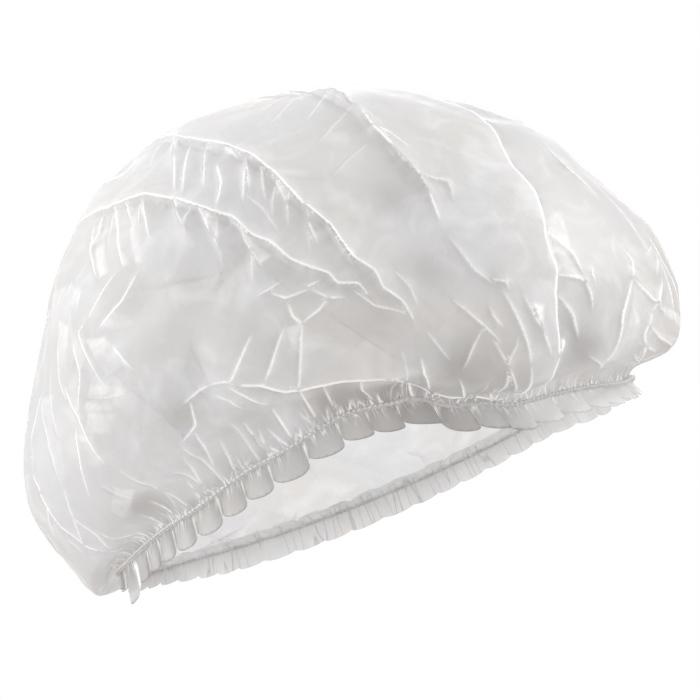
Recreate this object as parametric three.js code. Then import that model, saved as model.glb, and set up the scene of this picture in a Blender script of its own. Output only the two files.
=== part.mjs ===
// Disposable hair cover cap, in millimetres.
// A round sheet of thin film is gathered on an elastic band. Above the band the film puffs up
// into a crown, and below it the free edge hangs as a short ruffle of scallops.
// The band's mean plane is Z = 0 and +Z goes up through the crown. +X is the forehead end of
// the opening, -X the nape end, +Y the wearer's left and -Y the wearer's right.
import * as THREE from 'three';

// Opening and walls
const openingLength = 192;
const openingWidth = 160;
const filmWall = 1.1;
const seamGap = 0.35;

// Gathers at the band: one scallop of the ruffle continues each gather of the crown
const gatherCount = 52;
const gatherDepth = 1.5;
const neckGatherDepth = 0.7;
const gatherFadeRows = 3.2;
const pleatDepth = 1.6;
const pleatFadeRows = 5.5;
const crumpleDepth = 1.7;

// Ruffle
const ruffleDrop = 11.5;
const ruffleFlare = 2.2;
const ruffleWave = 2.5;
const ruffleTopWave = 0.5;
const ruffleEdgeWall = 2.0;
const scallopCrestDrop = 1.2;
const scallopValleyRise = 2.2;

// Elastic band, which lies on the outside of the gathered film
const bandGap = 1.1;
const bandThickness = 1.0;
const bandHeight = 1.8;

// Mesh columns round the cap: two for each gather, and four near the band
const columns = 2 * gatherCount;
const fineColumns = 2 * columns;

// Level sections of the crown from the band up. rise is the height above the band, and the
// other columns are the reach from the middle to the forehead, nape, left and right.
const sections = [
  { rise: 0.2, front: 96.0, back: 96.0, left: 80.0, right: 80.0 },
  { rise: 2.6, front: 96.8, back: 96.8, left: 80.8, right: 80.8 },
  { rise: 4.2, front: 101.0, back: 100.0, left: 84.5, right: 84.5 },
  { rise: 3.6, front: 108.0, back: 105.0, left: 90.5, right: 90.5 },
  { rise: 4.2, front: 116.0, back: 110.0, left: 97.0, right: 97.0 },
  { rise: 10.0, front: 121.5, back: 114.5, left: 103.0, right: 102.5 },
  { rise: 20.0, front: 125.0, back: 118.5, left: 108.5, right: 107.5 },
  { rise: 32.0, front: 126.8, back: 120.0, left: 112.5, right: 111.5 },
  { rise: 44.0, front: 125.8, back: 117.8, left: 113.0, right: 112.0 },
  { rise: 57.0, front: 121.0, back: 112.3, left: 110.5, right: 109.5 },
  { rise: 70.0, front: 115.2, back: 105.8, left: 105.8, right: 105.0 },
  { rise: 83.0, front: 107.8, back: 98.2, left: 99.2, right: 98.5 },
  { rise: 95.5, front: 96.5, back: 89.5, left: 90.6, right: 90.0 },
  { rise: 107.3, front: 84.0, back: 80.0, left: 80.2, right: 79.5 },
  { rise: 118.0, front: 70.5, back: 69.5, left: 68.3, right: 67.5 },
  { rise: 127.2, front: 54.5, back: 57.0, left: 54.0, right: 53.5 },
  { rise: 134.8, front: 36.5, back: 41.5, left: 38.0, right: 37.5 },
  { rise: 139.6, front: 17.5, back: 21.5, left: 19.5, right: 19.0 },
  { rise: 141.0, front: 0.0, back: 0.0, left: 0.0, right: 0.0 },
];
const apexRow = sections.length - 1;

// The band waves up and down round the opening (lift), and the puffed film above it hangs
// lower or is pulled up (hang). The angle is in degrees from +X towards +Y.
const rimWave = [
  { angle: 0, lift: -4.0, hang: 0.0 },
  { angle: 24, lift: 1.5, hang: 0.0 },
  { angle: 50, lift: 5.5, hang: -1.0 },
  { angle: 90, lift: 5.0, hang: -2.0 },
  { angle: 135, lift: 5.0, hang: -2.0 },
  { angle: 180, lift: 1.0, hang: -8.0 },
  { angle: 203, lift: -1.0, hang: -3.0 },
  { angle: 228, lift: 0.5, hang: 5.0 },
  { angle: 252, lift: 4.5, hang: 9.0 },
  { angle: 270, lift: 8.0, hang: 3.0 },
  { angle: 281, lift: 5.5, hang: 0.0 },
  { angle: 292, lift: -3.0, hang: -3.0 },
  { angle: 304, lift: -8.5, hang: -2.0 },
  { angle: 335, lift: -9.0, hang: 0.0 },
  { angle: 360, lift: -4.0, hang: 0.0 },
];
const liftFadeRise = 70;
const hangRow = 3.6;
const hangSpread = 1.7;

// Folds where one layer of film laps over the next. Each runs from a start through a middle
// to an end, given as an angle and a section row. lift is how far the lap stands out, and
// reach is how far it takes to sink back on the side of the apex.
const folds = [
  { angle0: 212, row0: 13.4, angle1: 258, row1: 11.8, angle2: 280, row2: 7.3, lift: 6.0, reach: 20 },
  { angle0: 239, row0: 15.4, angle1: 274, row1: 11.6, angle2: 285, row2: 6.2, lift: 6.5, reach: 22 },
  { angle0: 292, row0: 16.0, angle1: 299, row1: 12.4, angle2: 296, row2: 8.8, lift: 5.0, reach: 18 },
  { angle0: 326, row0: 12.0, angle1: 314, row1: 8.0, angle2: 306, row2: 4.6, lift: 6.0, reach: 16 },
  { angle0: 344, row0: 9.0, angle1: 350, row1: 6.5, angle2: 352, row2: 4.6, lift: 4.0, reach: 14 },
  { angle0: 210, row0: 9.2, angle1: 204, row1: 6.2, angle2: 208, row2: 4.4, lift: 4.0, reach: 16 },
  { angle0: 162, row0: 12.4, angle1: 132, row1: 10.2, angle2: 112, row2: 7.0, lift: 5.5, reach: 20 },
  { angle0: 118, row0: 15.0, angle1: 86, row1: 11.8, angle2: 70, row2: 7.2, lift: 6.0, reach: 22 },
  { angle0: 40, row0: 13.0, angle1: 34, row1: 9.4, angle2: 40, row2: 5.6, lift: 5.5, reach: 18 },
  { angle0: 10, row0: 10.6, angle1: 14, row1: 8.0, angle2: 20, row2: 5.2, lift: 4.5, reach: 14 },
];
const foldSteps = 24;
const lapDrop = 4.5;
const filmSink = 1.3;
const foldFullRow = 5.5;

function clamp01(value) {
  return Math.min(1, Math.max(0, value));
}

function ease(value) {
  const share = clamp01(value);
  return share * share * (3 - 2 * share);
}

// Smooth value of one column of a section table at a fractional row.
function sectionValue(name, row) {
  const index = Math.min(Math.floor(row), apexRow - 1);
  const share = row - index;
  const before = sections[Math.max(index - 1, 0)][name];
  const start = sections[index][name];
  const end = sections[index + 1][name];
  const after = sections[Math.min(index + 2, apexRow)][name];
  const linear = (end - before) * share;
  const square = (2 * before - 5 * start + 4 * end - after) * share ** 2;
  const cube = (3 * start - before - 3 * end + after) * share ** 3;
  return start + 0.5 * (linear + square + cube);
}

// Value of one column of the rim table at an angle in radians, eased from row to row.
function rimValue(name, angle) {
  const degrees = THREE.MathUtils.euclideanModulo(THREE.MathUtils.radToDeg(angle), 360);
  const next = rimWave.findIndex((entry) => entry.angle > degrees);
  const from = rimWave[next - 1];
  const to = rimWave[next];
  const share = ease((degrees - from.angle) / (to.angle - from.angle));
  return from[name] + (to[name] - from[name]) * share;
}

// Smooth puffed form of the crown's outer face, before gathers and folds.
function crownForm(angle, row) {
  const rise = sectionValue('rise', row);
  const reachX = sectionValue(Math.cos(angle) > 0 ? 'front' : 'back', row);
  const reachY = sectionValue(Math.sin(angle) > 0 ? 'left' : 'right', row);
  const lift = rimValue('lift', angle) * ease(1 - rise / liftFadeRise);
  const hangShare = Math.exp(-(((row - hangRow) / hangSpread) ** 2)) * ease((row - 1) / 2);
  const hang = rimValue('hang', angle) * hangShare;
  return new THREE.Vector3(reachX * Math.cos(angle), reachY * Math.sin(angle), rise + lift + hang);
}

// Direction out of the film, from two short steps along the smooth form.
function crownOutward(angle, row) {
  const step = 0.02;
  const low = Math.max(row - step, 0);
  const high = Math.min(row + step, apexRow);
  const around = crownForm(angle + step, row).sub(crownForm(angle - step, row));
  const upward = crownForm(angle, high).sub(crownForm(angle, low));
  return around.cross(upward).normalize();
}

// Points along a fold's line on the smooth form.
function foldLine(fold) {
  const line = [];
  for (let step = 0; step <= foldSteps; step += 1) {
    const share = step / foldSteps;
    const start = (1 - share) ** 2;
    const middle = 2 * share * (1 - share);
    const end = share ** 2;
    const degrees = start * fold.angle0 + middle * fold.angle1 + end * fold.angle2;
    const row = start * fold.row0 + middle * fold.row1 + end * fold.row2;
    const angle = THREE.MathUtils.degToRad(degrees);
    line.push({ share, angle, row, point: crownForm(angle, row) });
  }
  return line;
}

const foldLines = folds.map((fold) => ({ fold, line: foldLine(fold) }));

// How far one fold lifts the film at a point: a steep lap on the side of the band and a
// slow fall towards the apex, with both ends running out.
function foldLift(foldAndLine, point, row) {
  const { fold, line } = foldAndLine;
  let nearest = line[0];
  let distance = Infinity;
  for (const entry of line) {
    const gap = entry.point.distanceTo(point);
    if (gap < distance) {
      distance = gap;
      nearest = entry;
    }
  }
  const runOut = Math.sin(Math.PI * (0.12 + 0.76 * nearest.share));
  const fall = row >= nearest.row ? Math.exp(-distance / fold.reach) : clamp01(1 - distance / lapDrop);
  return fold.lift * runOut * fall;
}

// Gathers, pleats, crumples and folds as one distance from the smooth form.
function crownRelief(angle, row, point) {
  const zigzag = Math.cos(gatherCount * angle);
  const neckShare = ease(row / 2);
  const gather = neckGatherDepth + (gatherDepth - neckGatherDepth) * neckShare;
  const uneven = 0.75 + 0.25 * Math.cos(7 * angle + 1);
  const gathers = gather * uneven * zigzag * Math.exp(-((row / gatherFadeRows) ** 2) / 2);
  const pleatShare = ease((row - 1) / 2) * Math.exp(-((row / pleatFadeRows) ** 2) / 2);
  const pleats = pleatDepth * pleatShare * Math.cos(0.5 * gatherCount * angle + 0.8 * row);
  const high = ease((row - 3) / 3) * ease((apexRow - row) / 3);
  const crumple = Math.sin(9 * angle + 1.3 * row) * Math.sin(1.9 * row - 4 * angle);
  const folded = Math.max(0, ...foldLines.map((entry) => foldLift(entry, point, row)));
  const laps = (folded - filmSink) * ease(row / foldFullRow) * ease((apexRow - row) / 2);
  return gathers + pleats + crumpleDepth * high * crumple + laps;
}

// Outer and inner point of the crown's wall.
function crownWall(angle, row) {
  const point = crownForm(angle, row);
  const outward = row >= apexRow ? new THREE.Vector3(0, 0, 1) : crownOutward(angle, row);
  const outer = point.clone().addScaledVector(outward, crownRelief(angle, row, point));
  const inner = outer.clone().addScaledVector(outward, -filmWall);
  return { outer, inner };
}

// Point of the band's line and its level direction out of the opening.
function rimPoint(angle) {
  const x = 0.5 * openingLength * Math.cos(angle);
  const y = 0.5 * openingWidth * Math.sin(angle);
  return new THREE.Vector3(x, y, rimValue('lift', angle));
}

function rimOutward(angle) {
  const x = Math.cos(angle) / openingLength;
  const y = Math.sin(angle) / openingWidth;
  return new THREE.Vector3(x, y, 0).normalize();
}

// Outer and inner point of the ruffle's wall, at a share of its drop below the band.
function ruffleWall(angle, share) {
  const wave = Math.cos(gatherCount * angle);
  const amount = ruffleTopWave + (ruffleWave - ruffleTopWave) * share;
  const out = ruffleFlare * share + amount * wave;
  const edge = wave > 0 ? -scallopCrestDrop * wave : -scallopValleyRise * wave;
  const drop = seamGap * 0.5 + (ruffleDrop - seamGap * 0.5) * share - edge * share;
  const outward = rimOutward(angle);
  const outer = rimPoint(angle).addScaledVector(outward, out);
  outer.z -= drop;
  const wall = filmWall + (ruffleEdgeWall - filmWall) * share;
  const inner = outer.clone().addScaledVector(outward, -wall);
  return { outer, inner };
}

// Collects points and faces of one closed body.
class Body {
  constructor() {
    this.positions = [];
    this.faces = [];
  }

  point(vector) {
    this.positions.push(vector.x, vector.y, vector.z);
    return this.positions.length / 3 - 1;
  }

  // Ring of points, one for each angle.
  ring(count, place) {
    const ring = [];
    for (let index = 0; index < count; index += 1) {
      ring.push(this.point(place((2 * Math.PI * index) / count)));
    }
    return ring;
  }

  // Strip between two rings of the same count. The faces look out where upper lies above
  // lower on an outer wall.
  strip(lower, upper) {
    const count = lower.length;
    for (let index = 0; index < count; index += 1) {
      const next = (index + 1) % count;
      this.faces.push(lower[index], lower[next], upper[next]);
      this.faces.push(lower[index], upper[next], upper[index]);
    }
  }

  // Strip from a ring of twice the count up to a coarser one.
  widen(fine, coarse, flip) {
    const count = coarse.length;
    for (let index = 0; index < count; index += 1) {
      const next = (index + 1) % count;
      const left = fine[2 * index];
      const middle = fine[2 * index + 1];
      const right = fine[(2 * index + 2) % fine.length];
      this.face(left, middle, coarse[index], flip);
      this.face(middle, coarse[next], coarse[index], flip);
      this.face(middle, right, coarse[next], flip);
    }
  }

  fan(ring, tip, flip) {
    for (let index = 0; index < ring.length; index += 1) {
      this.face(ring[index], ring[(index + 1) % ring.length], tip, flip);
    }
  }

  face(a, b, c, flip) {
    this.faces.push(a, flip ? c : b, flip ? b : c);
  }

  geometry() {
    const geometry = new THREE.BufferGeometry();
    geometry.setAttribute('position', new THREE.Float32BufferAttribute(this.positions, 3));
    geometry.setIndex(this.faces);
    geometry.computeVertexNormals();
    return geometry;
  }
}

function namedMesh(name, geometry, colour, roughness) {
  const material = new THREE.MeshStandardMaterial({ color: colour, roughness, metalness: 0 });
  const mesh = new THREE.Mesh(geometry, material);
  mesh.name = name;
  return mesh;
}

// Crown: a hollow bag of film, open at the band. Two fine rings carry the gathers at the
// band, and the coarser rings above them the folds.
function makeCrown() {
  const body = new Body();
  const neckRow = 0.9;
  const firstRow = 2;
  const outerRings = [];
  const innerRings = [];
  for (let row = firstRow; row < apexRow; row += 1) {
    outerRings.push(body.ring(columns, (angle) => crownWall(angle, row).outer));
    innerRings.push(body.ring(columns, (angle) => crownWall(angle, row).inner));
  }
  const outerNeck = body.ring(fineColumns, (angle) => crownWall(angle, neckRow).outer);
  const innerNeck = body.ring(fineColumns, (angle) => crownWall(angle, neckRow).inner);
  const outerEdge = body.ring(fineColumns, (angle) => crownWall(angle, 0).outer);
  const innerEdge = body.ring(fineColumns, (angle) => crownWall(angle, 0).inner);
  const top = crownWall(0, apexRow);

  body.strip(innerEdge, outerEdge);
  body.strip(outerEdge, outerNeck);
  body.strip(innerNeck, innerEdge);
  body.widen(outerNeck, outerRings[0], false);
  body.widen(innerNeck, innerRings[0], true);
  for (let index = 1; index < outerRings.length; index += 1) {
    body.strip(outerRings[index - 1], outerRings[index]);
    body.strip(innerRings[index], innerRings[index - 1]);
  }
  body.fan(outerRings.at(-1), body.point(top.outer), false);
  body.fan(innerRings.at(-1), body.point(top.inner), true);
  return namedMesh('crown', body.geometry(), 0xe4e4e6, 0.35);
}

// Ruffle: the film's free margin below the band, one scallop for each gather.
function makeRuffle() {
  const body = new Body();
  const shares = [0, 0.45, 1];
  const outerRings = [];
  const innerRings = [];
  for (const share of shares) {
    outerRings.push(body.ring(fineColumns, (angle) => ruffleWall(angle, share).outer));
    innerRings.push(body.ring(fineColumns, (angle) => ruffleWall(angle, share).inner));
  }
  for (let index = 1; index < shares.length; index += 1) {
    body.strip(outerRings[index], outerRings[index - 1]);
    body.strip(innerRings[index - 1], innerRings[index]);
  }
  body.strip(outerRings[0], innerRings[0]);
  body.strip(innerRings.at(-1), outerRings.at(-1));
  return namedMesh('ruffle', body.geometry(), 0xdcdcde, 0.35);
}

// Elastic band: a flat ring on the outside of the film, which follows the band line's waves.
function makeElasticBand() {
  const body = new Body();
  const corner = (offset, height) => (angle) => {
    const point = rimPoint(angle).addScaledVector(rimOutward(angle), offset);
    point.z += height;
    return point;
  };
  const half = 0.5 * bandHeight;
  const outerFace = bandGap + bandThickness;
  const outerLow = body.ring(columns, corner(outerFace, -half));
  const outerHigh = body.ring(columns, corner(outerFace, half));
  const innerHigh = body.ring(columns, corner(bandGap, half));
  const innerLow = body.ring(columns, corner(bandGap, -half));
  body.strip(outerLow, outerHigh);
  body.strip(outerHigh, innerHigh);
  body.strip(innerHigh, innerLow);
  body.strip(innerLow, outerLow);
  return namedMesh('elastic_band', body.geometry(), 0xc9c8c6, 0.8);
}

const hairCoverCap = new THREE.Group();
hairCoverCap.add(makeCrown(), makeRuffle(), makeElasticBand());

export default hairCoverCap;
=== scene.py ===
"""Disposable hair cover cap: thin translucent film gathered on an elastic band.

The film is one sheet, so one piece stands for the crown and the ruffle. Its smooth form repeats
the sections of the part, and laps, pleats, creases and gathers are worked on it from short tables.
Lengths are in millimetres until a mesh is made of them. Angles run from +X towards +Y, in degrees
in the tables and in radians in the functions. Rows are fractional rows of the table of sections.
"""

import math

import bmesh
import bpy
import numpy as np
from mathutils import Matrix, Vector, kdtree
from mathutils.bvhtree import BVHTree


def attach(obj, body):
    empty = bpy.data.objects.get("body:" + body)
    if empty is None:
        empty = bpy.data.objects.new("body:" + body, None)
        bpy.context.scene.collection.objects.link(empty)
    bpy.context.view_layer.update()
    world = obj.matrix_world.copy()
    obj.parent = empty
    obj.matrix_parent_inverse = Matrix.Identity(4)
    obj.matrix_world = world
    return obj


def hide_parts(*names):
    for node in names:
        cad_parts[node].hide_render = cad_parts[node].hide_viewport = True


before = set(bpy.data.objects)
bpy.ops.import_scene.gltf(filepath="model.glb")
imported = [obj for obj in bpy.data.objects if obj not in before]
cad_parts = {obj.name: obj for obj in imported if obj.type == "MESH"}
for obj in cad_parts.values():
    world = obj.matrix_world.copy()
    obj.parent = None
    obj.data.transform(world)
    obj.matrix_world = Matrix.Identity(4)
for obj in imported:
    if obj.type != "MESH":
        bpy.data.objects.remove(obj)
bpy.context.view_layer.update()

MM = 0.001

# Camera: the photograph's view, from a little below the opening and turned in the frame
IMAGE_WIDTH = 700.0
PHOTO_SCALE = 0.36 * MM
CAMERA_DISTANCE = 1.1
CAMERA_BELOW = math.radians(12.0)
CAMERA_ROLL = math.radians(22.4)
CAMERA_TARGET = Vector((8.8 * MM, 0.0, 45.0 * MM))
SENSOR = 36.0

# Studio, in metres: name, size, watts and place of each light, then what they aim at
LIGHTS = [
    ("key", 0.9, 8.0, (-0.6, 0.2, 1.2)),
    ("right", 0.7, 12.0, (1.15, 0.0, 0.5)),
    ("left", 0.7, 9.0, (-1.2, -0.1, 0.35)),
    ("back", 0.9, 18.0, (0.1, 1.3, 0.5)),
]
LIGHT_AIM = Vector((0, 0, 0.05))
ROOM_NEAR, ROOM_FAR = 0.9, 1.0
FLOOR_Z, FLOOR_HALF = -1.0, 6.0

# Smooth form, in millimetres, as in the part: rise, then reach to front, back, left and right
SECTIONS = np.array([
    [0.2, 96.0, 96.0, 80.0, 80.0],
    [2.6, 96.8, 96.8, 80.8, 80.8],
    [4.2, 101.0, 100.0, 84.5, 84.5],
    [3.6, 108.0, 105.0, 90.5, 90.5],
    [4.2, 116.0, 110.0, 97.0, 97.0],
    [10.0, 121.5, 114.5, 103.0, 102.5],
    [20.0, 125.0, 118.5, 108.5, 107.5],
    [32.0, 126.8, 120.0, 112.5, 111.5],
    [44.0, 125.8, 117.8, 113.0, 112.0],
    [57.0, 121.0, 112.3, 110.5, 109.5],
    [70.0, 115.2, 105.8, 105.8, 105.0],
    [83.0, 107.8, 98.2, 99.2, 98.5],
    [95.5, 96.5, 89.5, 90.6, 90.0],
    [107.3, 84.0, 80.0, 80.2, 79.5],
    [118.0, 70.5, 69.5, 68.3, 67.5],
    [127.2, 54.5, 57.0, 54.0, 53.5],
    [134.8, 36.5, 41.5, 38.0, 37.5],
    [139.6, 17.5, 21.5, 19.5, 19.0],
    [141.0, 0.0, 0.0, 0.0, 0.0],
])
RISE, FRONT, BACK, LEFT, RIGHT = range(5)
APEX_ROW = len(SECTIONS) - 1

# Band line: angle in degrees, lift of the band and hang of the film above it
RIM_WAVE = np.array([
    [0, -4.0, 0.0],
    [24, 1.5, 0.0],
    [50, 5.5, -1.0],
    [90, 5.0, -2.0],
    [135, 5.0, -2.0],
    [180, 1.0, -8.0],
    [203, -1.0, -3.0],
    [228, 0.5, 5.0],
    [252, 4.5, 9.0],
    [270, 8.0, 3.0],
    [281, 5.5, 0.0],
    [292, -3.0, -3.0],
    [304, -8.5, -2.0],
    [335, -9.0, 0.0],
    [360, -4.0, 0.0],
])
ANGLE, LIFT, HANG = range(3)
LIFT_FADE_RISE = 70.0
HANG_ROW, HANG_SPREAD = 3.6, 1.7

# Laps, where one layer of film lies over the next: lift, reach, then (angle, row) along the lip
LAPS = [
    (3.4, 20.0, [(212, 13.8), (225, 13.5), (233, 13.2), (245, 12.8), (253, 12.1), (258, 11.5),
                 (261, 11.1), (264, 10.8), (266, 10.2), (269, 9.8), (271, 9.0), (273, 8.6),
                 (275.5, 8.2), (276, 7.8), (279, 7.6), (279.5, 7.2)]),
    (3.6, 22.0, [(228, 15.6), (239, 15.6), (250, 14.9), (261, 14.0), (268, 13.1), (272, 12.3),
                 (274, 11.6), (276, 10.5), (279, 9.6), (279.5, 8.7), (280, 8.4), (282, 7.8),
                 (282, 7.2), (284, 6.7), (284.5, 6.2)]),
    (1.8, 18.0, [(292, 16.2), (299, 14.6), (299, 14.0), (298, 13.0), (296, 11.7), (296, 10.7),
                 (297, 10.1), (297, 9.6), (296, 8.9)]),
    (2.8, 20.0, [(306, 3.0), (306, 4.2), (308, 5.7), (309, 6.4), (311, 6.9), (312, 7.8),
                 (316, 8.9), (316, 9.8), (318, 10.5), (324, 11.6), (331, 12.6)]),
    (3.0, 12.0, [(255, 6.2), (259, 5.7), (262, 4.9), (269, 4.3), (274, 4.1), (280, 3.9)]),
    (3.4, 16.0, [(210, 9.2), (206, 7.4), (205, 5.8), (208, 4.4)]),
    (3.2, 20.0, [(162, 12.4), (146, 11.5), (129, 9.8), (112, 7.0)]),
    (3.4, 22.0, [(118, 15.0), (101, 13.4), (86, 10.9), (70, 7.2)]),
    (3.2, 18.0, [(40, 13.0), (36, 11.0), (35, 8.6), (40, 5.6)]),
    (2.6, 8.0, [(278, 4.1), (282, 2.9), (286, 2.0), (291, 1.6), (296, 1.2), (301, 1.0)]),
]

# Pleats that hang from each lap: lap, first and last place along it, count, length in millimetres
PLEATS = [
    (0, 0.06, 0.55, 9, 17.0),
    (1, 0.10, 0.60, 10, 16.0),
    (2, 0.02, 0.60, 7, 20.0),
    (6, 0.10, 0.90, 12, 18.0),
    (7, 0.10, 0.90, 13, 18.0),
    (8, 0.10, 0.90, 7, 16.0),
]

# Sharp creases: start, middle and end as (angle, row) pairs, then height and whiteness, which also sets
# the crease's painted highlight and painted shade
CREASES = [
    (224, 13.1, 228, 12.2, 231, 11.2, 1.6, 1.0),
    (233, 13.2, 237, 12.1, 239, 11.0, 1.4, 0.9),
    (238, 13.0, 239, 12.7, 240, 12.4, 1.0, 0.7),
    (244, 12.7, 245, 12.1, 246, 11.4, 1.2, 0.9),
    (253, 12.1, 253, 11.7, 254, 11.2, 1.4, 1.0),
    (258, 11.5, 259, 10.8, 260, 10.1, 1.3, 0.7),
    (264, 10.7, 265, 10.0, 266, 9.3, 1.3, 0.7),
    (236, 10.9, 232, 10.5, 228, 10.1, 1.3, 0.9),
    (242, 10.6, 238, 10.1, 232, 9.8, 1.3, 0.9),
    (264, 8.4, 266, 8.4, 268, 8.5, 0.9, 0.7),
    (266, 8.3, 268, 7.9, 272, 7.9, 1.0, 0.8),
    (272, 7.9, 272, 8.0, 274, 8.1, 0.9, 0.7),
    (272, 7.9, 274, 7.4, 276, 7.3, 1.2, 0.8),
    (264, 12.6, 264, 11.9, 262, 11.3, 1.5, 1.0),
    (271, 12.4, 269, 11.7, 267, 11.1, 1.3, 0.8),
    (262, 13.5, 261, 12.8, 260, 12.2, 1.3, 0.8),
    (257, 14.1, 256, 13.2, 255, 12.2, 1.2, 0.8),
    (251, 14.8, 253, 13.6, 253, 12.5, 1.2, 0.8),
    (274, 11.3, 272, 10.8, 271, 10.4, 0.9, 0.5),
    (268, 11.2, 270, 10.7, 271, 10.0, 0.9, 0.5),
    (277, 10.4, 276, 9.8, 276, 9.2, 1.2, 0.8),
    (293, 11.5, 288, 11.2, 284, 10.9, 0.8, 0.3),
    (297, 10.1, 301, 9.7, 300, 9.2, 1.2, 0.6),
    (285, 7.6, 286, 7.1, 286, 6.6, 0.9, 0.6),
    (299, 7.0, 301, 6.9, 301, 6.7, 1.4, 0.8),
    (300, 6.7, 301, 5.7, 301, 4.7, 1.5, 1.0),
    (301, 4.7, 301, 3.4, 303, 1.6, 1.5, 1.0),
    (303, 6.5, 303.6, 5.9, 305.2, 4.9, 1.3, 0.9),
    (316, 6.6, 316, 6.2, 316, 5.8, 1.3, 0.9),
    (313, 8.0, 316, 7.3, 316, 6.6, 1.2, 0.9),
    (310, 6.3, 312, 5.8, 312, 5.2, 1.6, 1.0),
    (304, 6.3, 304, 6.0, 304, 5.5, 1.3, 0.9),
    (292, 6.6, 295, 5.9, 297, 5.4, 1.3, 0.8),
    (297, 6.3, 297, 6.1, 298, 5.8, 1.2, 0.7),
    (295, 5.8, 292, 5.2, 290, 4.7, 1.2, 0.7),
    (286, 5.8, 287, 5.4, 288, 5.0, 0.9, 0.5),
    (296, 5.5, 297, 4.7, 301, 2.6, 1.2, 0.7),
    (328, 6.4, 322, 5.5, 319, 3.9, 1.3, 0.9),
    (328, 6.4, 333, 5.8, 340, 5.5, 1.2, 0.8),
    (330, 5.1, 336, 4.6, 346, 4.1, 1.2, 0.8),
    (328, 4.5, 332, 4.2, 337, 3.9, 1.0, 0.7),
    (328, 3.9, 334, 3.2, 340, 2.8, 1.0, 0.7),
    (330, 7.1, 330, 6.8, 328, 6.4, 0.9, 0.5),
    (344, 7.1, 340, 6.8, 338, 6.5, 0.9, 0.5),
    (319, 6.8, 318, 6.6, 318, 6.4, 0.8, 0.5),
    (314, 4.4, 318, 3.8, 324, 2.6, 1.0, 0.6),
    (284, 4.8, 284, 4.1, 286, 2.4, 1.2, 0.9),
    (247, 6.4, 246, 5.5, 242, 5.2, 1.2, 0.8),
    (254, 6.2, 256, 5.5, 258, 4.1, 1.2, 0.8),
    (251, 6.1, 253, 5.7, 254, 4.8, 1.0, 0.6),
    (258, 3.4, 258, 2.4, 258, 1.2, 1.3, 1.0),
    (264, 4.5, 264, 3.0, 264, 1.4, 1.1, 0.8),
    (268, 4.0, 268, 2.6, 268, 1.2, 1.1, 0.7),
    (274, 4.0, 274, 2.5, 276, 1.1, 1.1, 0.8),
    (252, 3.2, 252, 2.0, 253, 1.0, 1.1, 0.8),
    (240, 4.2, 238, 2.6, 236, 1.0, 1.0, 0.6),
    (229, 5.8, 232, 4.4, 228, 1.6, 1.0, 0.5),
    (223, 5.8, 224, 5.1, 225, 4.0, -1.1, 0.3),
    (229, 10.2, 226, 10.0, 232, 8.3, 1.3, 0.7),
    (224, 9.8, 227, 8.9, 226, 8.0, 1.5, 0.8),
    (222, 8.8, 226, 7.7, 227, 6.3, 1.5, 0.9),
    (235, 9.1, 237, 8.7, 239, 8.2, 1.0, 0.6),
    (228, 8.2, 232, 7.9, 236, 7.7, -1.2, 0.4),
    (224, 7.6, 223, 6.9, 219, 5.8, 1.3, 0.8),
    (212, 9.1, 215, 8.1, 214, 6.5, 1.3, 0.6),
    (214, 6.5, 212, 5.7, 206, 4.8, 1.3, 0.7),
    (212, 5.7, 213, 4.8, 211, 3.6, 1.2, 0.7),
    (208, 8.7, 208, 7.9, 205, 7.1, 1.2, 0.6),
    (206, 6.9, 202, 6.4, 196, 5.8, 1.2, 0.6),
    (200, 5.5, 202, 5.2, 202, 4.7, 1.0, 0.5),
    (218, 10.2, 220, 9.1, 222, 8.5, 1.0, 0.5),
    (215, 9.7, 218, 8.2, 218, 7.7, 1.0, 0.5),
    (261, 7.3, 258, 6.8, 254, 6.2, 1.3, 0.9),
    (266, 7.0, 263, 6.4, 260, 5.8, 1.4, 1.0),
    (269, 6.9, 267, 6.1, 264, 4.8, 1.8, 1.0),
    (268, 7.7, 268, 7.2, 269, 6.9, 1.2, 0.9),
    (269, 6.9, 272, 7.1, 274, 7.4, 1.0, 0.8),
    (246, 6.4, 249, 6.5, 251, 6.5, 1.4, 1.0),
    (251, 6.5, 254, 6.4, 256, 6.1, 1.2, 0.8),
    (245, 5.2, 244, 3.8, 242, 2.4, 1.2, 0.8),
    (309, 5.2, 308, 5.0, 306, 4.7, 1.2, 0.9),
    (311, 6.8, 315, 6.6, 316, 6.5, 1.2, 1.0),
    (296, 8.3, 297, 7.3, 299, 6.9, 1.0, 0.7),
    (340, 6.4, 336, 6.0, 332, 5.5, 1.2, 0.8),
    (332, 5.5, 328, 4.8, 336, 2.4, 1.2, 0.8),
    (300, 5.5, 297, 4.8, 297, 2.5, 1.1, 0.7),
    (289, 4.1, 290, 3.4, 293, 1.4, 1.1, 0.9),
    (296, 3.2, 298, 1.8, 299, 1.0, 1.1, 0.9),
    (278, 7.4, 280, 6.7, 284, 6.3, 1.2, 0.7),
    (298, 13.9, 292, 13.4, 288, 13.1, 0.8, 0.45),
    (296, 14.5, 287, 14.0, 280, 13.6, 0.9, 0.5),
    (295, 14.9, 287, 14.7, 280, 14.4, 0.8, 0.45),
    (297, 12.8, 290, 12.4, 286, 12.1, 0.7, 0.4),
    (291, 15.5, 284, 15.2, 278, 15.0, 0.7, 0.4),
]

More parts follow.
